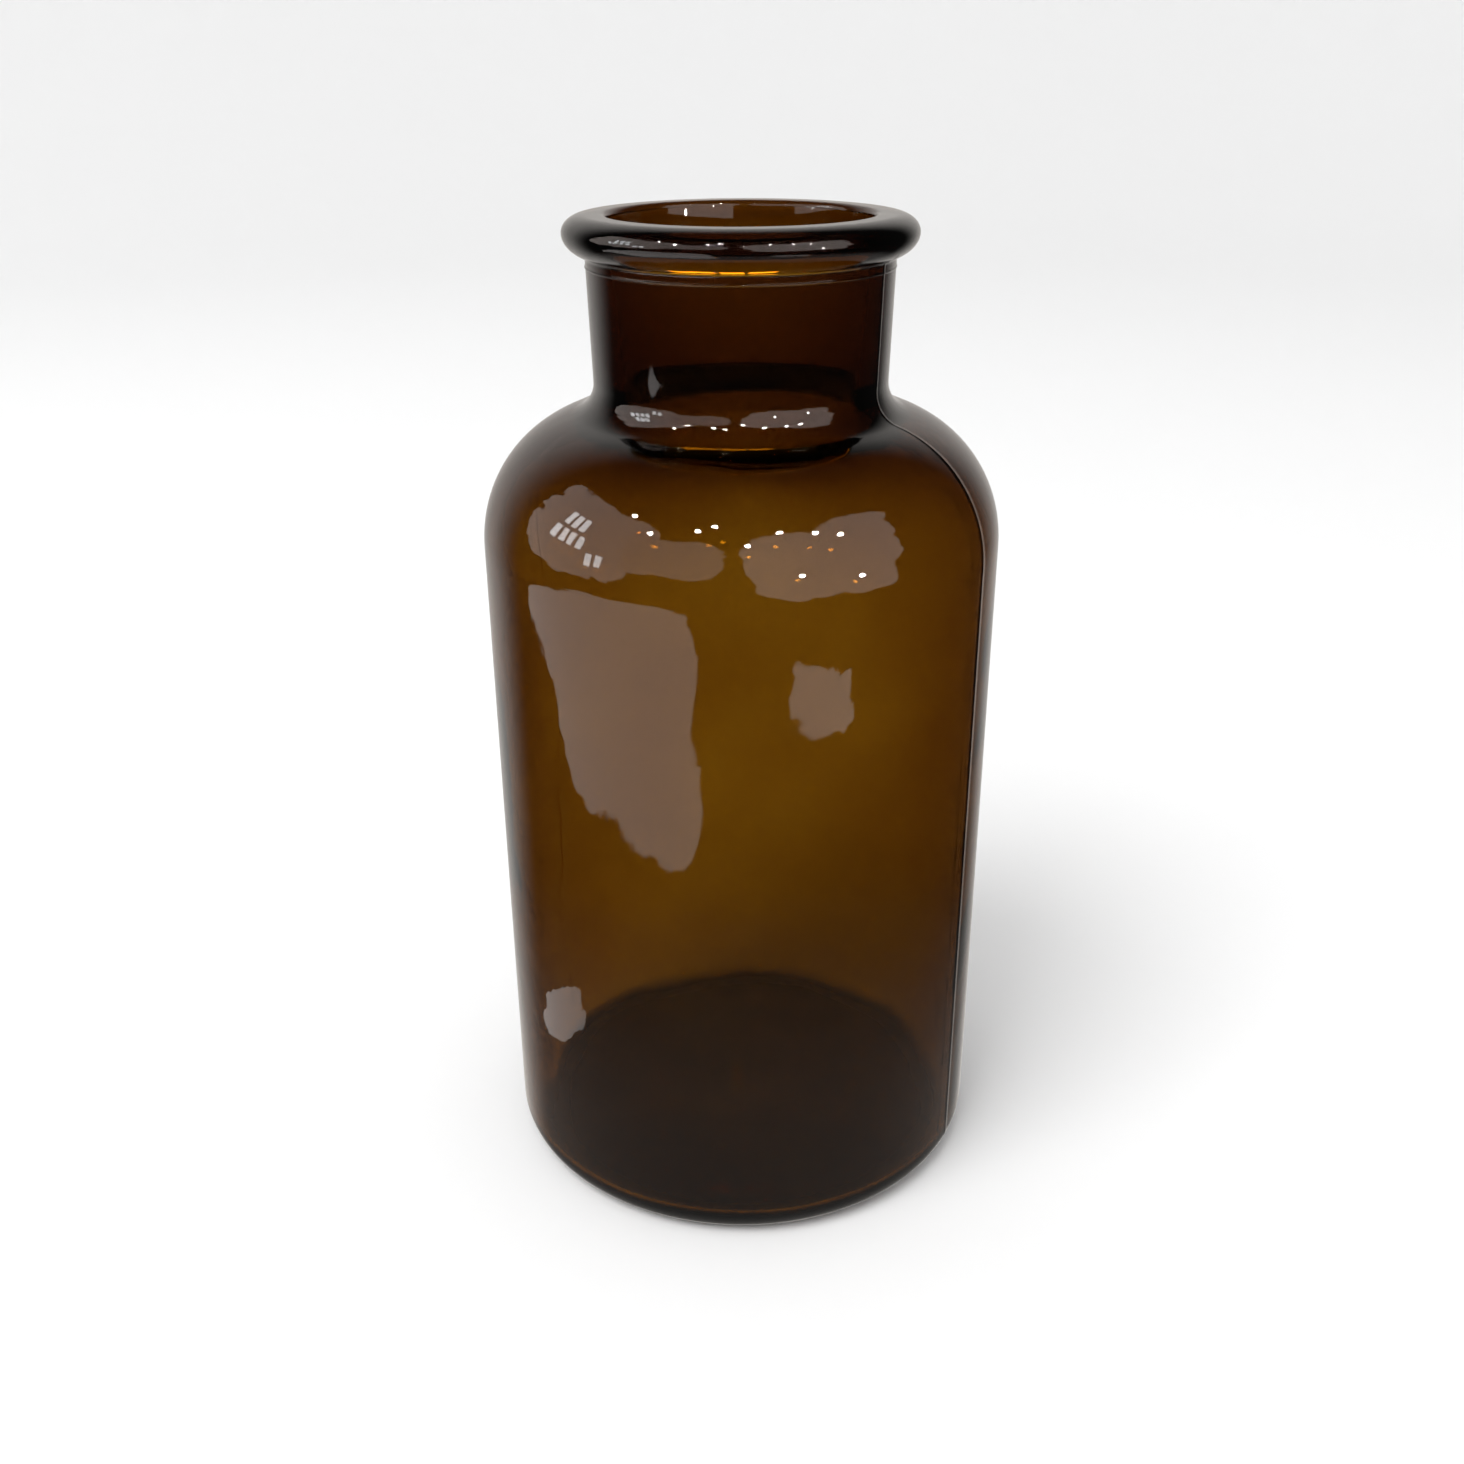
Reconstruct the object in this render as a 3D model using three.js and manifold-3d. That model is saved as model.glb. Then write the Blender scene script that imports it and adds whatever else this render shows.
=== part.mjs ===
// A wide-mouth reagent bottle of amber glass, blown in a mould of two halves.
//
// The bottle is one piece of glass: base, body, shoulder, neck and lip are zones of a single wall.
// Units are millimetres and +Z is up. The origin is the centre of the plane that the bottle stands on.
// The halves of the mould met in the XZ plane, so the seams run up the +X and -X sides.

import * as THREE from "three";
import { mergeVertices, toCreasedNormals } from "three/addons/utils/BufferGeometryUtils.js";
import Module from "manifold-3d";

// ---------------------------------------------------------------- Driving dimensions

const TOTAL_HEIGHT = 200.8;
const BODY_DIAMETER = 104;
const BODY_WALL = 3;

// The base stands on a flat ring, and its middle is pushed up clear of the table.
const HEEL_RADIUS = 6.2; // outside corner between the base and the body
const INNER_HEEL_RADIUS = 4; // inside corner between the floor and the body
const BEARING_WIDTH = 3.6;
const PUSH_UP = 3.2;
const BASE_THICKNESS = 2.6;

// The shoulder is part of an ellipse that leaves the body upright and would end level, at its crown.
const SHOULDER_REACH = 25.6; // from the body's wall in towards the axis
const SHOULDER_RISE = 26.3; // from the top of the straight body up to the crown
const SHOULDER_WALL = 4.6; // at the crown; where it leaves the body it is BODY_WALL

// The neck narrows downwards, like the cork or stopper that it takes.
const FINISH_HEIGHT = 36; // from the shoulder's crown up to the rim
const BORE_DIAMETER = 50.8; // at the rim
const NECK_WALL = 4.4; // at the rim
const NECK_GAIN = 1.4; // what the neck's wall gains from the rim to the crown
const NECK_NARROWING = 1.1; // what the neck's radius loses from the rim to the crown
const NECK_FILLET = 6.2; // outside corner between the neck and the shoulder
const INNER_FILLET = 7.5; // the same corner on the inside

// The lip is a rolled bead with a level top.
const LIP_OVERHANG = 4; // past the neck's outside at the rim
const LIP_TOP_CURVE = { across: 4.4, up: 3.3 };
const LIP_UNDER_CURVE = { across: 7.4, up: 4.8 };
const LIP_FILLET = 0.8; // inside corner between the bead and the neck
const MOUTH_ROUNDING = 1.1; // fire-polished inner edge

// The mould leaves a fine bead where its neck ring ended, and a seam where its halves met.
const NECK_RING_DROP = 6.1; // from the lip's widest line down to the bead
const NECK_RING_BEAD = 0.2;
const SEAM_WIDTH = 0.6;
const SEAM_HEIGHT = 0.12;
const SEAM_ROOT = 1; // how deep the seam is rooted in the wall
const SEAM_START_ANGLE = -55; // where on the heel it begins: -90 is underneath, 0 is the body's wall

// How finely curves are cut into straight pieces.
const SEGMENTS = 64; // around the axis
const FINE_STEP = 18; // degrees of a tight curve
const WIDE_STEP = 10; // degrees of the shoulder
const DOME_PIECES = 4;
const BISECTIONS = 40;

// ---------------------------------------------------------------- Sizes that follow from them

const bodyRadius = BODY_DIAMETER / 2;
const boreRadius = BORE_DIAMETER / 2;
const lipRadius = boreRadius + NECK_WALL + LIP_OVERHANG;
const lipWidestZ = TOTAL_HEIGHT - LIP_TOP_CURVE.up;
const shoulderCrownZ = TOTAL_HEIGHT - FINISH_HEIGHT;
const shoulderCentre = new THREE.Vector2(bodyRadius - SHOULDER_REACH, shoulderCrownZ - SHOULDER_RISE);
const heelCentre = new THREE.Vector2(bodyRadius - HEEL_RADIUS, HEEL_RADIUS);
const innerHeelCentre = new THREE.Vector2(
  bodyRadius - BODY_WALL - INNER_HEEL_RADIUS,
  BASE_THICKNESS + INNER_HEEL_RADIUS,
);

// The neck's outside and its bore, as sloping lines: the radius at the rim, and how it falls below.
const neckSlope = NECK_NARROWING / FINISH_HEIGHT;
const neckOutside = { rimRadius: boreRadius + NECK_WALL, rimZ: TOTAL_HEIGHT, slope: neckSlope };
const boreSlope = neckSlope + NECK_GAIN / FINISH_HEIGHT;
const neckBore = { rimRadius: boreRadius, rimZ: TOTAL_HEIGHT, slope: boreSlope };

// ---------------------------------------------------------------- Curves
// The wall's section lies in a plane of Vector2 points: x is the distance from the axis, y the height.

/** Points along an ellipse about centre, from one angle to another, both in degrees. */
function ellipseArc(centre, halfX, halfY, from, to, step) {
  const [start, end] = [from, to].map(THREE.MathUtils.degToRad);
  const curve = new THREE.EllipseCurve(centre.x, centre.y, halfX, halfY, start, end, to < from);
  return curve.getPoints(Math.ceil(Math.abs(to - from) / step));
}

function circleArc(centre, radius, from, to, step = FINE_STEP) {
  return ellipseArc(centre, radius, radius, from, to, step);
}

/** A shallow dome from the point at edgeRadius and edgeZ up to the axis, where it is higher by rise. */
function dome(edgeRadius, edgeZ, rise) {
  const sphere = (edgeRadius ** 2 + rise ** 2) / (2 * rise);
  const reach = THREE.MathUtils.radToDeg(Math.asin(edgeRadius / sphere));
  const centre = new THREE.Vector2(0, edgeZ + rise - sphere);
  return circleArc(centre, sphere, 90 - reach, 90, reach / DOME_PIECES);
}

function onNeck(neck, z) {
  return new THREE.Vector2(neck.rimRadius - neck.slope * (neck.rimZ - z), z);
}

/**
 * An ellipse from its outermost point towards a neck above it, and the fillet that joins the two.
 * The fillet's circle is slid up along the ellipse until it touches the neck's sloping line.
 */
function bulgeToNeck(centre, halfX, halfY, neck, fillet, step) {
  const outward = (t) => new THREE.Vector2(Math.cos(t) / halfX, Math.sin(t) / halfY).normalize();
  const filletCentre = (t) =>
    new THREE.Vector2(halfX * Math.cos(t), halfY * Math.sin(t))
      .add(centre)
      .addScaledVector(outward(t), fillet);
  const awayFromNeck = new THREE.Vector2(1, -neck.slope).normalize();
  const distanceToNeck = (point) => awayFromNeck.dot(point.clone().sub(onNeck(neck, centre.y)));

  let low = 0;
  let high = Math.PI / 2;
  for (let i = 0; i < BISECTIONS; i++) {
    const middle = (low + high) / 2;
    if (distanceToNeck(filletCentre(middle)) > fillet) low = middle;
    else high = middle;
  }
  const contact = THREE.MathUtils.radToDeg(low);
  const down = THREE.MathUtils.radToDeg(outward(low).angle()) - 180;
  const sideways = -180 - THREE.MathUtils.radToDeg(Math.atan(neck.slope));
  return [
    ...ellipseArc(centre, halfX, halfY, 0, contact, step),
    ...circleArc(filletCentre(low), fillet, down, sideways).slice(1),
  ];
}

/** The same curve for a neck that lies below, given from the neck up to the outermost point. */
function neckToBulge(centre, halfX, halfY, neck, fillet, step) {
  const upsideDown = (point) => new THREE.Vector2(point.x, -point.y);
  const flippedNeck = { rimRadius: neck.rimRadius, rimZ: -neck.rimZ, slope: -neck.slope };
  const flipped = bulgeToNeck(upsideDown(centre), halfX, halfY, flippedNeck, fillet, step);
  return flipped.map(upsideDown).reverse();
}

/** The line beside another at a distance, on the right of the way it runs. */
function besideLine(points, distance) {
  return points.map((point, i) => {
    const before = points[Math.max(i - 1, 0)];
    const after = points[Math.min(i + 1, points.length - 1)];
    const along = after.clone().sub(before).normalize();
    return new THREE.Vector2(along.y, -along.x).multiplyScalar(distance).add(point);
  });
}

// ---------------------------------------------------------------- The wall's section, zone by zone

/** The underside: the pushed-up dome, then the flat ring that the bottle stands on. */
function underside() {
  const ringInner = heelCentre.x - BEARING_WIDTH;
  return dome(ringInner, 0, PUSH_UP).reverse();
}

const outerShoulder = () =>
  bulgeToNeck(shoulderCentre, SHOULDER_REACH, SHOULDER_RISE, neckOutside, NECK_FILLET, WIDE_STEP);

function innerShoulder() {
  const reach = SHOULDER_REACH - BODY_WALL;
  const rise = SHOULDER_RISE - SHOULDER_WALL;
  return bulgeToNeck(shoulderCentre, reach, rise, neckBore, INNER_FILLET, WIDE_STEP);
}

function neckRingBead() {
  const centre = onNeck(neckOutside, lipWidestZ - NECK_RING_DROP);
  return circleArc(centre, NECK_RING_BEAD, -90, 90, 45);
}

/** The lip, from its fillet on the neck over the level top to the start of the bore. */
function lip() {
  const under = LIP_UNDER_CURVE;
  const top = LIP_TOP_CURVE;
  const underCentre = new THREE.Vector2(lipRadius - under.across, lipWidestZ);
  const topCentre = new THREE.Vector2(lipRadius - top.across, lipWidestZ);
  const edgeCentre = onNeck(neckBore, TOTAL_HEIGHT - MOUTH_ROUNDING);
  edgeCentre.x += MOUTH_ROUNDING;
  return [
    ...neckToBulge(underCentre, under.across, under.up, neckOutside, LIP_FILLET, FINE_STEP),
    ...ellipseArc(topCentre, top.across, top.up, 0, 90, FINE_STEP).slice(1),
    ...circleArc(edgeCentre, MOUTH_ROUNDING, 90, 180, 2 * FINE_STEP),
  ];
}

/** The floor inside: the rounded corner from the wall, then the dome over the push-up. */
function floorInside() {
  return [
    ...circleArc(innerHeelCentre, INNER_HEEL_RADIUS, 0, -90),
    ...dome(innerHeelCentre.x, BASE_THICKNESS, PUSH_UP).slice(1),
  ];
}

/** The whole section, from the axis underneath, up the outside, over the lip and down the inside. */
function wallSection() {
  return [
    ...underside(),
    ...circleArc(heelCentre, HEEL_RADIUS, -90, 0),
    ...outerShoulder(),
    ...neckRingBead(),
    ...lip(),
    ...innerShoulder().reverse(),
    ...floorInside(),
  ];
}

// ---------------------------------------------------------------- Solids

const wasm = await Module();
wasm.setup();

/** A closed three.js geometry as a solid that can be joined to another. */
function toSolid(geometry) {
  const bare = geometry.clone();
  bare.deleteAttribute("normal");
  bare.deleteAttribute("uv");
  const merged = mergeVertices(bare);
  return new wasm.Manifold(
    new wasm.Mesh({
      numProp: 3,
      vertProperties: merged.attributes.position.array,
      triVerts: new Uint32Array(merged.index.array),
    }),
  );
}

function toGeometry(solid) {
  const { vertProperties, triVerts } = solid.getMesh();
  return new THREE.BufferGeometry()
    .setAttribute("position", new THREE.BufferAttribute(vertProperties, 3))
    .setIndex(new THREE.BufferAttribute(triVerts, 1));
}

/** The bottle's wall turned about the axis. */
function turnedWall() {
  return new THREE.LatheGeometry(wallSection(), SEGMENTS).rotateX(Math.PI / 2);
}

/** A seam: a thin upright strip that follows the outside from the heel to the neck ring's bead. */
function mouldSeam(turn) {
  const line = [
    ...circleArc(heelCentre, HEEL_RADIUS, SEAM_START_ANGLE, 0),
    ...outerShoulder(),
    onNeck(neckOutside, lipWidestZ - NECK_RING_DROP),
  ];
  const outline = [...besideLine(line, SEAM_HEIGHT), ...besideLine(line, -SEAM_ROOT).reverse()];
  return new THREE.ExtrudeGeometry(new THREE.Shape(outline), { depth: SEAM_WIDTH, bevelEnabled: false })
    .translate(0, 0, -SEAM_WIDTH / 2)
    .rotateX(Math.PI / 2)
    .rotateZ(turn);
}

/** The finished glass: the wall with the seam of each side joined on. */
function glassBottle() {
  const seams = [0, Math.PI].map((turn) => toSolid(mouldSeam(turn)));
  const glass = seams.reduce((joined, seam) => joined.add(seam), toSolid(turnedWall()));
  const creaseAngle = THREE.MathUtils.degToRad(25);
  const amber = new THREE.MeshStandardMaterial({ color: 0x5a3606, roughness: 0.06, metalness: 0 });
  const mesh = new THREE.Mesh(toCreasedNormals(toGeometry(glass), creaseAngle), amber);
  mesh.name = "glass_bottle";
  return mesh;
}

const bottle = new THREE.Group();
bottle.add(glassBottle());

export default bottle;
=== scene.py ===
"""A wide-mouth reagent bottle of amber glass, and the small studio that it is shown in."""

import math

import bmesh
import bpy
from bpy.props import FloatProperty, FloatVectorProperty, IntProperty, PointerProperty
from mathutils import Matrix, Vector


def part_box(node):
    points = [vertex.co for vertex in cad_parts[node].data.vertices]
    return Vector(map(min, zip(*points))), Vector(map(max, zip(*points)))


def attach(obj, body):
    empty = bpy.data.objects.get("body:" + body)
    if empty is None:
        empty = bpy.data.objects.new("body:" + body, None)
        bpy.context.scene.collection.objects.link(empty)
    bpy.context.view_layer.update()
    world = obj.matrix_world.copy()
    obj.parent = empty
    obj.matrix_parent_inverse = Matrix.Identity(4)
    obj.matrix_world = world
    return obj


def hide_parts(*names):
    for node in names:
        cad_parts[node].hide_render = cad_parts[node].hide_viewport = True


bl_info = {
    "name": "Amber Reagent Bottle",
    "version": (1, 0, 0),
    "blender": (4, 5, 0),
    "location": "View3D > Sidebar > Bottle",
    "description": "Makes a wide-mouth reagent bottle of amber glass in a pale studio",
    "category": "Object",
}

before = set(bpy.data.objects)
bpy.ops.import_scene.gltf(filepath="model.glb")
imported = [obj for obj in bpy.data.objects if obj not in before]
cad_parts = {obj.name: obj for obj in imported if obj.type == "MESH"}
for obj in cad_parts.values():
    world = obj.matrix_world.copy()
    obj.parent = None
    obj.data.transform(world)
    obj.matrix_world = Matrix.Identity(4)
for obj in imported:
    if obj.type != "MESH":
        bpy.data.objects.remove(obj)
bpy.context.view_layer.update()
NODE_HIGH = Vector(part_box("glass_bottle")[1])
MM = 0.001
AXIS = Vector((0, 0, 0))
MIDDLE = Vector((0, 0, 0.1))  # the point of the bottle that every lamp faces
SENSOR_WIDTH = 36  # of the camera, in millimetres


# ---------------------------------------------------------------- Settings


def length(name, description, millimetres):
    return FloatProperty(
        name=name,
        description=description,
        default=millimetres * MM,
        min=0,
        precision=5,
        subtype="DISTANCE",
        unit="LENGTH",
    )


def angle(name, description, degrees):
    return FloatProperty(
        name=name,
        description=description,
        default=math.radians(degrees),
        subtype="ANGLE",
        unit="ROTATION",
    )


def colour(name, description, value):
    return FloatVectorProperty(
        name=name, description=description, default=value, min=0, max=1, subtype="COLOR"
    )


def number(name, description, value):
    return FloatProperty(name=name, description=description, default=value, min=0)


class BottleSizes(bpy.types.PropertyGroup):
    """Sizes of the glass wall, from the base up to the lip."""

    height: length("Height", "From the table to the rim", NODE_HIGH.z / MM)
    body_diameter: length("Body diameter", "Across the straight sides", 2 * NODE_HIGH.y / MM)
    body_wall: length("Body wall", "Thickness of the straight sides", 3)
    heel_radius: length("Heel radius", "Outside corner between base and body", 6.2)
    inner_heel_radius: length("Inner heel radius", "Inside corner between floor and body", 4)
    bearing_width: length("Bearing width", "Width of the ring that the bottle stands on", 3.6)
    push_up: length("Push-up", "Height of the base's raised middle", 3.2)
    base_thickness: length("Base thickness", "Thickness of the glass floor", 2.6)
    shoulder_reach: length("Shoulder reach", "From the body's wall to the ellipse's centre", 25.6)
    shoulder_rise: length("Shoulder rise", "From the body's top up to the shoulder's crown", 26.3)
    shoulder_wall: length("Shoulder wall", "Thickness at the shoulder's crown", 4.6)
    finish_height: length("Finish height", "From the shoulder's crown up to the rim", 36)
    bore_diameter: length("Bore diameter", "Inside of the neck at the rim", 50.8)
    neck_wall: length("Neck wall", "Thickness of the neck", 4.4)
    neck_narrowing: length("Neck narrowing", "What the neck's radius loses down to the crown", 1.1)
    neck_gain: length("Neck gain", "Extra thickness of the neck at its foot", 1.4)
    neck_fillet: length("Neck fillet", "Outside corner between neck and shoulder", 6.2)
    inner_fillet: length("Inner neck fillet", "Inside corner between neck and shoulder", 7.5)
    lip_overhang: length("Lip overhang", "How far the lip stands out past the neck", 4)
    lip_top_across: length("Lip top width", "Upper curve of the lip, sideways", 4.4)
    lip_top_up: length("Lip top height", "Upper curve of the lip, upwards", 3.3)
    lip_under_across: length("Lip underside width", "Lower curve of the lip, sideways", 7.4)
    lip_under_up: length("Lip underside height", "Lower curve of the lip, downwards", 4.8)
    lip_fillet: length("Lip fillet", "Inside corner between lip and neck", 0.8)
    mouth_rounding: length("Mouth rounding", "Fire-polished inner edge of the rim", 1.1)
    ring_drop: length("Neck ring drop", "From the lip's widest line down to the bead", 6.1)
    ring_bead: length("Neck ring bead", "Radius of the bead that the neck ring left", 0.16)
    seam_height: length("Seam height", "How far the mould seam stands out", 0.07)
    seam_width: length("Seam width", "Width of the mould seam", 0.4)
    seam_start: angle("Seam start", "Where on the heel the seam begins, from the wall down", 55)
    unevenness: length("Unevenness", "How far the blown inside wanders from true", 0.7)
    steps: IntProperty(
        name="Steps", description="Facets around the axis", default=240, min=24, max=400
    )


class GlassLook(bpy.types.PropertyGroup):
    """Colour and finish of the amber glass."""

    tint: colour("Tint", "Colour that the glass lets through", (0.682, 0.541, 0.0))
    density: number("Density", "How strongly each metre of glass absorbs", 1080)
    index: number("Refraction index", "Index of soda-lime glass", 1.52)
    roughness: number("Roughness", "Roughness of clean glass", 0.006)
    smudge: number("Smudge", "Roughness that handling adds", 0.035)
    relief: length("Relief", "Depth of the mould's faint relief on the skin", 0.14)


class StudioSettings(bpy.types.PropertyGroup):
    """Floor, camera and lights."""

    floor_colour: colour("Floor colour", "Pale seamless floor", (0.9, 0.9, 0.9))
    ambience: number("Ambience", "Even light from all round", 0.8)
    key: number("Key", "Soft light from the front, left of the camera", 7)
    dim_room: number("Dim room", "The room's darkest part in the glass's reflections", 0.02)
    pale_wall: number("Pale wall", "The room's far wall in the glass's reflections", 0.6)
    table_glow: number("Table glow", "The table's front in the glass's reflections", 0.25)
    camera_azimuth: angle("Camera azimuth", "Around the bottle from the front", 28)
    camera_distance: length("Camera distance", "Level distance from the bottle's axis", 297.01)
    camera_height: length("Camera height", "Above the table", 227.93)
    camera_pitch: angle("Camera pitch", "How far the camera looks down", 24.3226)
    camera_turn: angle("Camera turn", "How far the camera looks left of the axis", 0.3983)
    camera_roll: angle("Camera roll", "Tilt about the line of sight", -0.2677)
    camera_lens: number("Lens", f"In millimetres, for a {SENSOR_WIDTH} mm wide sensor", 36.917)


# ---------------------------------------------------------------- Working by hand in edit mode


def deselect_all():
    if bpy.context.object and bpy.context.object.mode != "OBJECT":
        bpy.ops.object.mode_set(mode="OBJECT")
    bpy.ops.object.select_all(action="DESELECT")


def select_where(obj, kind, test):
    """Selects the vertices or faces of the mesh in edit mode that pass a test."""
    modes = {"verts": "VERT", "faces": "FACE"}
    bpy.ops.mesh.select_mode(type=modes[kind])
    bpy.ops.mesh.select_all(action="DESELECT")
    mesh = bmesh.from_edit_mesh(obj.data)
    mesh.normal_update()
    chosen = [element for element in getattr(mesh, kind) if test(element)]
    if not chosen:
        raise RuntimeError(f"nothing to select among the {kind} of {obj.name}")
    for element in chosen:
        element.select = True
    mesh.select_flush_mode()
    bmesh.update_edit_mesh(obj.data)


def finish_piece(obj, name):
    """Names a piece, puts its place into its mesh and gives it smooth shading."""
    bpy.ops.object.mode_set(mode="OBJECT")
    bpy.ops.object.transform_apply(location=True, rotation=True, scale=True)
    bpy.ops.object.shade_smooth()
    obj.name = obj.data.name = name


# ---------------------------------------------------------------- Curves of the wall's section


def arc(centre, half_x, half_y, start, end, pieces):
    """Points of an ellipse, each the distance from the axis and the height, angles in degrees."""
    angles = [math.radians(start + (end - start) * i / pieces) for i in range(pieces + 1)]
    return [
        Vector((centre[0] + half_x * math.cos(t), centre[1] + half_y * math.sin(t)))
        for t in angles
    ]


def straight(start, end, pieces):
    """Points that cut a line into equal pieces, without its two ends."""
    return [Vector(start).lerp(Vector(end), i / pieces) for i in range(1, pieces)]


def dome(edge_radius, edge_z, rise, pieces):
    """A shallow dome from its edge up to the axis."""
    sphere = (edge_radius**2 + rise**2) / (2 * rise)
    reach = math.degrees(math.asin(edge_radius / sphere))
    return arc((0, edge_z + rise - sphere), sphere, sphere, 90 - reach, 90, pieces)


class Neck:
    """The sloping line of the neck's outside, or of its bore."""

    def __init__(self, rim_radius, rim_z, slope):
        self.rim_radius = rim_radius
        self.rim_z = rim_z
        self.slope = slope

    def at(self, z):
        return Vector((self.rim_radius - self.slope * (self.rim_z - z), z))

    def upside_down(self):
        return Neck(self.rim_radius, -self.rim_z, -self.slope)


def bulge_to_neck(centre, half_x, half_y, neck, fillet, pieces, fillet_pieces):
    """An ellipse from its outermost point up towards a neck, and the fillet that joins the two.

    Where the fillet leaves the ellipse is found by halving the range that it lies in.
    """

    def outward(t):
        return Vector((math.cos(t) / half_x, math.sin(t) / half_y)).normalized()

    def fillet_centre(t):
        on_ellipse = Vector((half_x * math.cos(t), half_y * math.sin(t)))
        return Vector(centre) + on_ellipse + outward(t) * fillet

    away_from_neck = Vector((1, -neck.slope)).normalized()
    low, high = 0, math.pi / 2
    halvings = 40
    for _ in range(halvings):
        middle = (low + high) / 2
        gap = away_from_neck.dot(fillet_centre(middle) - neck.at(centre[1]))
        low, high = (middle, high) if gap > fillet else (low, middle)
    facing = outward(low)
    down = math.degrees(math.atan2(facing.y, facing.x)) - 180
    sideways = -180 - math.degrees(math.atan(neck.slope))
    contact = math.degrees(low)
    curve = arc(centre, half_x, half_y, 0, contact, pieces)
    return curve + arc(fillet_centre(low), fillet, fillet, down, sideways, fillet_pieces)[1:]


def neck_to_bulge(centre, half_x, half_y, neck, fillet, pieces, fillet_pieces):
    """The same curve for a neck that lies below, from the neck up to the outermost point."""
    turned = (centre[0], -centre[1])
    points = bulge_to_neck(
        turned, half_x, half_y, neck.upside_down(), fillet, pieces, fillet_pieces
    )
    return [Vector((p.x, -p.y)) for p in reversed(points)]


def wall_section(s):
    """The wall's section: from the axis underneath, up the outside, over the lip and down inside.

    The last number of each curve says how many straight pieces it is made of.
    """
    body = s.body_diameter / 2
    bore = s.bore_diameter / 2
    slope = s.neck_narrowing / s.finish_height
    neck_outside = Neck(bore + s.neck_wall, s.height, slope)
    neck_bore = Neck(bore, s.height, slope + s.neck_gain / s.finish_height)
    lip_radius = bore + s.neck_wall + s.lip_overhang
    lip_z = s.height - s.lip_top_up
    shoulder = (body - s.shoulder_reach, s.height - s.finish_height - s.shoulder_rise)
    heel = (body - s.heel_radius, s.heel_radius)
    inner_wall = body - s.body_wall
    inner_heel = (inner_wall - s.inner_heel_radius, s.base_thickness + s.inner_heel_radius)

    # The base plate of the mould leaves a small step in the heel, where the upright seams begin.
    seam_start = math.degrees(s.seam_start)
    beside_step = 4
    step = Vector((s.ring_bead / 2, -s.ring_bead / 2))
    on_heel = arc(heel, s.heel_radius, s.heel_radius, -seam_start, -seam_start, 1)[0]
    outer_shoulder = bulge_to_neck(
        shoulder, s.shoulder_reach, s.shoulder_rise, neck_outside, s.neck_fillet, 26, 14
    )
    inner_shoulder = bulge_to_neck(
        shoulder,
        s.shoulder_reach - s.body_wall,
        s.shoulder_rise - s.shoulder_wall,
        neck_bore,
        s.inner_fillet,
        22,
        14,
    )
    # Points close beside the bead keep the neck's smooth shading even next to it.
    ring_centre = neck_outside.at(lip_z - s.ring_drop)
    beside_bead = 2 * s.ring_bead
    ring = [
        neck_outside.at(ring_centre.y - beside_bead),
        *arc(ring_centre, s.ring_bead, s.ring_bead, -90, 90, 6),
        neck_outside.at(ring_centre.y + beside_bead),
    ]
    lip_under = neck_to_bulge(
        (lip_radius - s.lip_under_across, lip_z),
        s.lip_under_across,
        s.lip_under_up,
        neck_outside,
        s.lip_fillet,
        12,
        6,
    )
    lip_top = arc(
        (lip_radius - s.lip_top_across, lip_z), s.lip_top_across, s.lip_top_up, 0, 90, 16
    )
    mouth_centre = neck_bore.at(s.height - s.mouth_rounding) + Vector((s.mouth_rounding, 0))
    mouth = arc(mouth_centre, s.mouth_rounding, s.mouth_rounding, 90, 180, 8)
    inside_turn = arc(inner_heel, s.inner_heel_radius, s.inner_heel_radius, 0, -90, 14)

    return [
        *reversed(dome(heel[0] - s.bearing_width, 0, s.push_up, 12)),
        *arc(heel, s.heel_radius, s.heel_radius, -90, -seam_start - beside_step, 5),
        on_heel + step,
        *arc(heel, s.heel_radius, s.heel_radius, -seam_start + beside_step, 0, 8),
        *straight((body, heel[1]), (body, shoulder[1]), 30),
        *outer_shoulder,
        *straight(outer_shoulder[-1], ring[0], 6),
        *ring,
        neck_outside.at(lip_under[0].y - s.ring_bead),
        *lip_under,
        *lip_top[1:],
        *straight(lip_top[-1], mouth[0], 8),
        *mouth,
        *straight(mouth[-1], inner_shoulder[-1], 8),
        *reversed(inner_shoulder),
        *straight((inner_wall, shoulder[1]), (inner_wall, inner_heel[1]), 30),
        *inside_turn,
        *dome(inner_heel[0], s.base_thickness, s.push_up, 14)[1:],
    ]


# ---------------------------------------------------------------- Shader nodes


class Wire:
    """A value in a node tree, on which Python's own operators add Math nodes."""

    def __init__(self, nodes, socket):
        self.nodes = nodes
        self.socket = socket

    def math(self, operation, first, second):
        return self.nodes.add("ShaderNodeMath", {"operation": operation}, {0: first, 1: second})

    def __add__(self, other):
        return self.math("ADD", self, other)

    __radd__ = __add__

    def __mul__(self, other):
        return self.math("MULTIPLY", self, other)

    __rmul__ = __mul__


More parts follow.
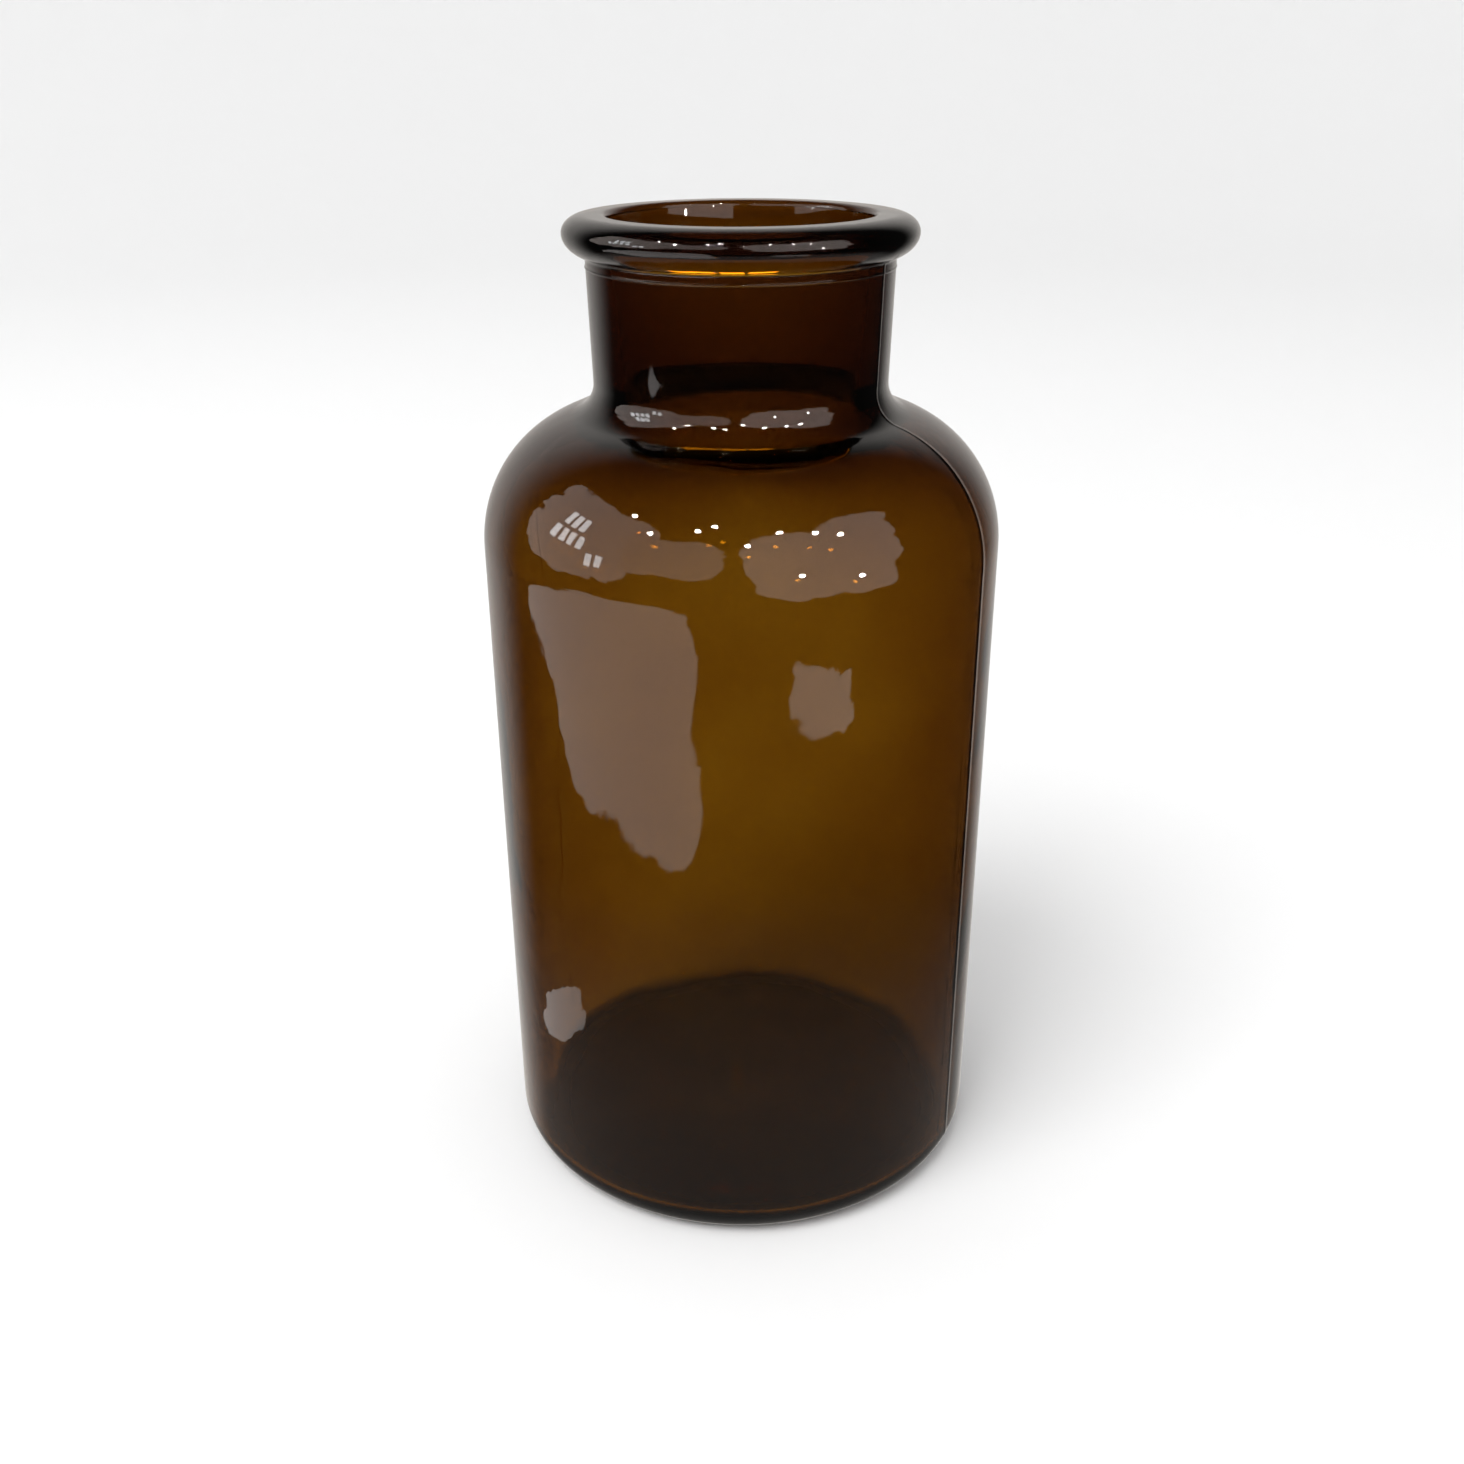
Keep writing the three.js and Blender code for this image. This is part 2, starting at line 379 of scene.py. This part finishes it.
class Nodes:
    """The node tree of one material, light or world."""

    def __init__(self, owner):
        owner.use_nodes = True
        self.tree = owner.node_tree
        self.tree.nodes.clear()

    def add(self, kind, settings=None, inputs=None, output=0):
        """Adds a node: its settings first, then the values or links of its sockets."""
        node = self.tree.nodes.new(kind)
        for key, value in (settings or {}).items():
            setattr(node, key, value)
        for key, value in (inputs or {}).items():
            socket = node.inputs[key]
            if isinstance(value, Wire):
                self.tree.links.new(value.socket, socket)
            else:
                socket.default_value = value
        if not len(node.outputs):
            return node
        return Wire(self, node.outputs[output])

    def object_point(self):
        return self.add("ShaderNodeTexCoord", output="Object")

    def noise(self, point, scale, detail=2, stretch=(1, 1, 1)):
        """Smooth noise from 0 to 1 with features about 1 / scale metres wide."""
        stretched = self.add(
            "ShaderNodeMapping", {"vector_type": "POINT"}, {"Vector": point, "Scale": stretch}
        )
        return self.add(
            "ShaderNodeTexNoise",
            {"noise_dimensions": "3D"},
            {"Vector": stretched, "Scale": scale, "Detail": detail},
        )

    def dot(self, first, second):
        return self.add(
            "ShaderNodeVectorMath", {"operation": "DOT_PRODUCT"}, {0: first, 1: second}, "Value"
        )

    def between(self, value, low, high):
        """Runs smoothly from 0 at low to 1 at high."""
        return self.add(
            "ShaderNodeMapRange",
            {"interpolation_type": "SMOOTHSTEP"},
            {"Value": value, "From Min": low, "From Max": high},
        )


def amber_glass(look):
    """Clear amber glass: its colour is absorbed along the path, so thick places are darker."""
    material = bpy.data.materials.new("amber_glass")
    nodes = Nodes(material)
    point = nodes.object_point()
    handling = nodes.between(nodes.noise(point, scale=28, detail=5), low=0.5, high=0.68)
    drawn = nodes.noise(point, scale=95, detail=1, stretch=(1, 1, 0.22))
    chilled = nodes.noise(point, scale=62, detail=2)
    skin = chilled * 0.7 + drawn * 0.3
    relief = nodes.add(
        "ShaderNodeBump", inputs={"Strength": 1.0, "Distance": look.relief, "Height": skin}
    )
    surface = nodes.add(
        "ShaderNodeBsdfPrincipled",
        inputs={
            "Base Color": (1, 1, 1, 1),
            "Roughness": handling * look.smudge + look.roughness,
            "IOR": look.index,
            "Transmission Weight": 1.0,
            "Normal": relief,
        },
    )
    absorption = nodes.add(
        "ShaderNodeVolumeAbsorption",
        inputs={"Color": (*look.tint, 1), "Density": look.density},
    )
    nodes.add("ShaderNodeOutputMaterial", inputs={"Surface": surface, "Volume": absorption})
    return material


def seamless_paper(studio):
    """Pale matt paper, clear from below so that the bottle's underside can be looked at."""
    material = bpy.data.materials.new("seamless_paper")
    nodes = Nodes(material)
    tooth = nodes.noise(nodes.object_point(), scale=900, detail=3)
    relief = nodes.add(
        "ShaderNodeBump", inputs={"Strength": 0.15, "Distance": 0.1 * MM, "Height": tooth}
    )
    paper = nodes.add(
        "ShaderNodeBsdfDiffuse",
        inputs={"Color": (*studio.floor_colour, 1), "Normal": relief},
    )
    nothing = nodes.add("ShaderNodeBsdfTransparent")
    behind = nodes.add("ShaderNodeNewGeometry", output="Backfacing")
    mixed = nodes.add("ShaderNodeMixShader", inputs={0: behind, 1: paper, 2: nothing})
    nodes.add("ShaderNodeOutputMaterial", inputs={"Surface": mixed})
    return material


# ---------------------------------------------------------------- The bottle


def chain_of_points(points):
    """A single vertex, extruded from point to point in the XZ plane."""
    deselect_all()
    start = Vector((points[0].x, 0, points[0].y))
    bpy.ops.mesh.primitive_plane_add(size=MM, location=start)
    chain = bpy.context.object
    bpy.ops.object.mode_set(mode="EDIT")
    bpy.ops.mesh.select_mode(type="VERT")
    bpy.ops.mesh.select_all(action="SELECT")
    bpy.ops.mesh.merge(type="CENTER")
    for here, there in zip(points, points[1:]):
        step = (there.x - here.x, 0, there.y - here.y)
        bpy.ops.mesh.extrude_vertices_move(TRANSFORM_OT_translate={"value": step})
    return chain


def raise_mould_seams(obj, s):
    """Raises the two upright seams where the halves of the mould met, at +X and -X."""
    low = s.heel_radius - s.heel_radius * math.sin(s.seam_start)
    high = s.height - s.lip_top_up - s.ring_drop
    facet = math.pi * s.body_diameter / s.steps
    reach = 1.01 * facet
    inner_limit = s.bore_diameter / 2 + s.neck_wall / 2
    upwards = 0.5

    def outside(point, normal):
        facing_out = normal.x * point.x > 0 or normal.z > upwards
        return abs(point.x) > inner_limit and low < point.z < high and facing_out

    def on_outer_face(face):
        centre = face.calc_center_median()
        return abs(centre.y) < reach and outside(centre, face.normal)

    for side in (-1, 1):
        select_where(obj, "faces", on_outer_face)
        bpy.ops.mesh.bisect(plane_co=(0, side * s.seam_width / 2, 0), plane_no=(0, 1, 0))

    def on_crest(vertex):
        return abs(vertex.co.y) < 0.01 * MM and outside(vertex.co, vertex.normal)

    select_where(obj, "verts", on_crest)
    bpy.ops.transform.shrink_fatten(value=s.seam_height)


def wander_inside(obj, s):
    """Lets the blown inside surface wander from true, but less and less up the neck."""
    group = obj.vertex_groups.new(name="inside")
    floor_top = 2.5 * s.base_thickness
    upwards = 0.6
    for vertex in obj.data.vertices:
        place, normal = vertex.co, vertex.normal
        inward = normal.x * place.x + normal.y * place.y < 0
        floor = normal.z > upwards and place.z < floor_top
        if inward and place.z > s.base_thickness or floor:
            fade = min(1, max(0, (s.height - place.z) / s.finish_height))
            group.add([vertex.index], fade, "REPLACE")
    clouds = bpy.data.textures.new("wander", "CLOUDS")
    clouds.noise_scale = 26 * MM
    clouds.noise_depth = 1
    displace = obj.modifiers.new("wander", "DISPLACE")
    displace.texture = clouds
    displace.texture_coords = "LOCAL"
    displace.strength = s.unevenness
    displace.mid_level = 0.5
    displace.vertex_group = group.name
    bpy.ops.object.modifier_apply(modifier=displace.name)
    obj.vertex_groups.clear()
    bpy.data.textures.remove(clouds)


class MakeGlassBottle(bpy.types.Operator):
    """Spin the bottle's wall from its section, raise the mould seams and give it amber glass"""

    bl_idname = "bottle.make_glass"
    bl_label = "Glass Bottle"

    def execute(self, context):
        s = context.scene.bottle_sizes
        bottle = chain_of_points(wall_section(s))
        bpy.ops.mesh.select_all(action="SELECT")
        bpy.ops.mesh.spin(steps=s.steps, angle=math.tau, center=AXIS, axis=(0, 0, 1))
        bpy.ops.mesh.select_all(action="SELECT")
        bpy.ops.mesh.remove_doubles(threshold=0.002 * MM)
        bpy.ops.mesh.normals_make_consistent(inside=False)
        raise_mould_seams(bottle, s)
        finish_piece(bottle, "reagent_bottle")
        wander_inside(bottle, s)
        bottle.data.materials.append(amber_glass(context.scene.glass_look))
        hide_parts("glass_bottle")
        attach(bottle, "root")
        return {"FINISHED"}


# ---------------------------------------------------------------- The studio

FAR_WALL = (-0.574, 0.819, 0)  # the way to the room's pale wall, behind the bottle

# Lamps: azimuth and elevation of each as the bottle sees it, in degrees.
WINDOW_PANES = [
    (-62, 20), (-57, 20), (-52, 20), (-47, 20),
    (-60, 30), (-55, 30), (-50, 30),
    (-40, 12), (-35, 13),
]
CEILING_LAMPS = [
    (5, 47), (13, 52), (31, 38), (49, 47), (66, 43),
    (77, 38), (53, 14), (79, 8), (-18, 40), (-34, 48),
]
BACK_LAMPS = [(202, 56), (210, 57), (218, 56), (225, 57)]

# Wall cards: azimuth, elevation, width and height, glow.
WALL_CARDS = [
    (-48, 24, (1.9, 1.4), 1.4),
    (-4, 25, (1.3, 0.8), 1.2),
    (67, 23, (2.2, 1.7), 1.6),
]

# Table cards: middle, width and height, turn about the upright in degrees, glow.
TABLE_CARDS = [
    ((-0.225, -0.4), (0.7, 0.58), -14, 1.45),
    ((0.294, -0.164), (0.19, 0.08), 63, 1.6),
    ((-0.079, -0.071), (0.056, 0.03), 110, 1.3),
]


def toward(azimuth, elevation, distance):
    """The point at a distance from the bottle's middle; azimuth 0 is in front, towards -Y."""
    a, e = math.radians(azimuth), math.radians(elevation)
    way = Vector((math.sin(a) * math.cos(e), -math.cos(a) * math.cos(e), math.sin(e)))
    return MIDDLE + way * distance


def facing_bottle(place):
    """The rotation that turns a lamp or a card at a place towards the bottle's middle."""
    return (place - MIDDLE).to_track_quat("Z", "Y").to_euler()


def add_lamp(name, place, size, radiance, shape="RECTANGLE", tone=(1, 1, 1)):
    """A flat soft light that faces the bottle. Its power follows from its size and brightness."""
    bpy.ops.object.light_add(type="AREA", location=place, rotation=facing_bottle(place))
    lamp = bpy.context.object
    lamp.name = name
    lamp.data.shape = shape
    lamp.data.size = size[0]
    if shape != "DISK":
        lamp.data.size_y = size[1]
    area = size[0] * size[1] * (1 if shape == "RECTANGLE" else math.pi / 4)
    lamp.data.energy = math.pi * area * radiance
    lamp.data.color = tone
    lamp.visible_camera = False
    lamp.visible_diffuse = False
    return lamp


def add_lamps(name, ways, distance, size, radiance, tone, shape="RECTANGLE"):
    """Lamps of one kind, one along each pair of azimuth and elevation."""
    return [
        add_lamp(f"{name}_{i}", toward(*way, distance), size, radiance, shape, tone)
        for i, way in enumerate(ways)
    ]


def pale_card(seed, glow, tone):
    """Even light with a torn outline, so that its mirror image isn't a hard rectangle."""
    material = bpy.data.materials.new("pale_card")
    material.cycles.emission_sampling = "NONE"
    nodes = Nodes(material)
    point = nodes.object_point()
    shift = (seed, seed, 0)
    shifted = nodes.add("ShaderNodeVectorMath", {"operation": "ADD"}, {0: point, 1: shift})
    across = nodes.add("ShaderNodeSeparateXYZ", inputs={0: point}, output="X")
    along = nodes.add("ShaderNodeSeparateXYZ", inputs={0: point}, output="Y")
    across, along = across * across, along * along
    reach = across * across + along * along
    raggedness = nodes.noise(shifted, scale=1.7, detail=7) * 1.6
    torn = nodes.between(reach + raggedness, low=1.18, high=1.22)
    light = nodes.add("ShaderNodeEmission", inputs={"Color": (*tone, 1), "Strength": glow})
    nothing = nodes.add("ShaderNodeBsdfTransparent")
    mixed = nodes.add("ShaderNodeMixShader", inputs={0: torn, 1: light, 2: nothing})
    nodes.add("ShaderNodeOutputMaterial", inputs={"Surface": mixed})
    return material


def add_card(name, place, rotation, size, finish):
    """A flat card that nothing but a mirror image shows."""
    deselect_all()
    bpy.ops.mesh.primitive_plane_add(size=2, location=place, rotation=rotation)
    card = bpy.context.object
    card.name = name
    card.scale = (size[0] / 2, size[1] / 2, 1)
    card.data.materials.append(finish)
    card.visible_camera = card.visible_diffuse = card.visible_transmission = False
    card.visible_shadow = False


class MakeStudio(bpy.types.Operator):
    """Add the pale seamless floor, the soft lights and the camera"""

    bl_idname = "bottle.make_studio"
    bl_label = "Studio"

    def execute(self, context):
        studio = context.scene.studio_settings
        deselect_all()
        self.floor(studio)
        self.room_light(context, studio)
        self.key_light(studio)
        self.lamps()
        self.cards()
        self.camera(context, studio)
        return {"FINISHED"}

    def floor(self, studio):
        """A flat round floor whose rim sweeps up into a wall, so that no horizon shows."""
        flat, level, sweep, wall = 1.2, 1.6, 1.2, 1.5
        pieces = 10
        turns = [math.pi / 2 * i / pieces for i in range(pieces + 1)]
        rim = [(level + sweep * math.sin(t), sweep * (1 - math.cos(t))) for t in turns]
        bpy.ops.mesh.primitive_circle_add(vertices=96, radius=flat, fill_type="NOTHING")
        floor = bpy.context.object
        bpy.ops.object.mode_set(mode="EDIT")
        bpy.ops.mesh.select_all(action="SELECT")
        bpy.ops.mesh.edge_face_add()
        select_where(floor, "verts", lambda vertex: True)
        radius, height = flat, 0
        for wider, higher in [*rim, (rim[-1][0], rim[-1][1] + wall)]:
            bpy.ops.mesh.extrude_edges_move(
                TRANSFORM_OT_translate={"value": (0, 0, higher - height)}
            )
            grow = wider / radius
            bpy.ops.transform.resize(value=(grow, grow, 1), center_override=(0, 0, 0))
            radius, height = wider, higher
        bpy.ops.mesh.select_all(action="SELECT")
        bpy.ops.mesh.normals_make_consistent(inside=True)
        finish_piece(floor, "studio_floor")
        floor.data.materials.append(seamless_paper(studio))
        floor.visible_glossy = False

    def room_light(self, context, studio):
        """Even light on the floor, and a dim room where the glass mirrors its surroundings."""
        world = bpy.data.worlds.new("room")
        context.scene.world = world
        nodes = Nodes(world)
        direction = nodes.add("ShaderNodeTexCoord", output="Generated")
        to_wall = nodes.dot(direction, FAR_WALL)
        to_table = nodes.dot(direction, (0, 0, -1))
        wall = nodes.between(to_wall, low=0.46, high=0.86) * studio.pale_wall
        table = nodes.between(to_table, low=0.48, high=0.66) * studio.table_glow
        even = nodes.add(
            "ShaderNodeBackground", inputs={"Color": (1, 1, 1, 1), "Strength": studio.ambience}
        )
        room = nodes.add(
            "ShaderNodeBackground",
            inputs={"Color": (1, 0.95, 0.9, 1), "Strength": wall + table + studio.dim_room},
        )
        mirrored = nodes.add("ShaderNodeLightPath", output="Is Glossy Ray")
        mixed = nodes.add("ShaderNodeMixShader", inputs={0: mirrored, 1: even, 2: room})
        nodes.add("ShaderNodeOutputWorld", inputs={"Surface": mixed})

    def key_light(self, studio):
        """A broad light that brightens the floor and leaves the bottle's soft shadow on it."""
        place = toward(azimuth=-12, elevation=55, distance=2.2)
        key = add_lamp("key", place, (1.2, 1.2), studio.key)
        key.visible_diffuse = True
        key.visible_glossy = key.visible_transmission = False

    def lamps(self):
        """A window and ceiling lamps that the glass mirrors, and a row that shows through it."""
        add_lamps(
            "window",
            WINDOW_PANES,
            distance=1.1,
            size=(0.06, 0.15),
            radiance=7,
            tone=(0.9, 0.96, 1),
        )
        add_lamps(
            "ceiling",
            CEILING_LAMPS,
            distance=1.1,
            size=(0.045, 0.045),
            radiance=240,
            tone=(1, 0.97, 0.92),
            shape="DISK",
        )
        glints = add_lamps(
            "glint",
            BACK_LAMPS,
            distance=0.27,
            size=(0.018, 0.02),
            radiance=26,
            tone=(1, 0.85, 0.6),
        )
        for glint in glints:
            glint.visible_glossy = False

    def cards(self):
        """Pale cards on the walls and on the table, which only the glass mirrors."""
        wall_distance, wall_tone = 1.3, (1, 0.88, 0.82)
        for i, (azimuth, elevation, size, glow) in enumerate(WALL_CARDS):
            place = toward(azimuth, elevation, wall_distance)
            finish = pale_card(i, glow, wall_tone)
            add_card(f"wall_card_{i}", place, facing_bottle(place), size, finish)
        first_seed, table_tone = 7, (1, 0.95, 0.93)
        for i, ((x, y), size, turn, glow) in enumerate(TABLE_CARDS):
            place, rotation = Vector((x, y, 0)), (0, 0, math.radians(turn))
            finish = pale_card(first_seed + i, glow, table_tone)
            add_card(f"table_card_{i}", place, rotation, size, finish)

    def camera(self, context, studio):
        """The camera, and enough bounces of light for the glass."""
        azimuth = studio.camera_azimuth
        place = Vector(
            (
                studio.camera_distance * math.sin(azimuth),
                -studio.camera_distance * math.cos(azimuth),
                studio.camera_height,
            )
        )
        turn = Matrix.Rotation(azimuth + studio.camera_turn, 3, "Z")
        tilt = Matrix.Rotation(math.pi / 2 - studio.camera_pitch, 3, "X")
        roll = Matrix.Rotation(studio.camera_roll, 3, "Z")
        bpy.ops.object.camera_add(location=place, rotation=(turn @ tilt @ roll).to_euler())
        camera = context.object
        camera.data.sensor_width = SENSOR_WIDTH
        camera.data.lens = studio.camera_lens
        camera.data.clip_start = 0.01
        camera.data.dof.use_dof = False
        context.scene.camera = camera
        context.scene.view_settings.view_transform = "Standard"
        cycles = context.scene.cycles
        cycles.max_bounces = cycles.transmission_bounces = 24
        cycles.glossy_bounces = 10


# ---------------------------------------------------------------- Panel and registration


class BottlePanel(bpy.types.Panel):
    """Sizes, colours and the operators that make each piece"""

    bl_idname = "VIEW3D_PT_reagent_bottle"
    bl_label = "Reagent Bottle"
    bl_space_type = "VIEW_3D"
    bl_region_type = "UI"
    bl_category = "Bottle"

    def draw(self, context):
        for operator in OPERATORS:
            self.layout.operator(operator.bl_idname)
        for group in GROUPS:
            settings = getattr(context.scene, group)
            box = self.layout.box()
            for name in settings.bl_rna.properties.keys():
                if name not in ("rna_type", "name"):
                    box.prop(settings, name)


OPERATORS = (MakeGlassBottle, MakeStudio)
GROUPS = {
    "bottle_sizes": BottleSizes,
    "glass_look": GlassLook,
    "studio_settings": StudioSettings,
}


def register():
    for cls in (*GROUPS.values(), *OPERATORS, BottlePanel):
        bpy.utils.register_class(cls)
    for name, group in GROUPS.items():
        setattr(bpy.types.Scene, name, PointerProperty(type=group))


def unregister():
    for name in GROUPS:
        delattr(bpy.types.Scene, name)
    for cls in (BottlePanel, *reversed(OPERATORS), *GROUPS.values()):
        bpy.utils.unregister_class(cls)


def main():
    register()
    bpy.ops.bottle.make_glass()
    bpy.ops.bottle.make_studio()


if __name__ == "__main__":
    main()
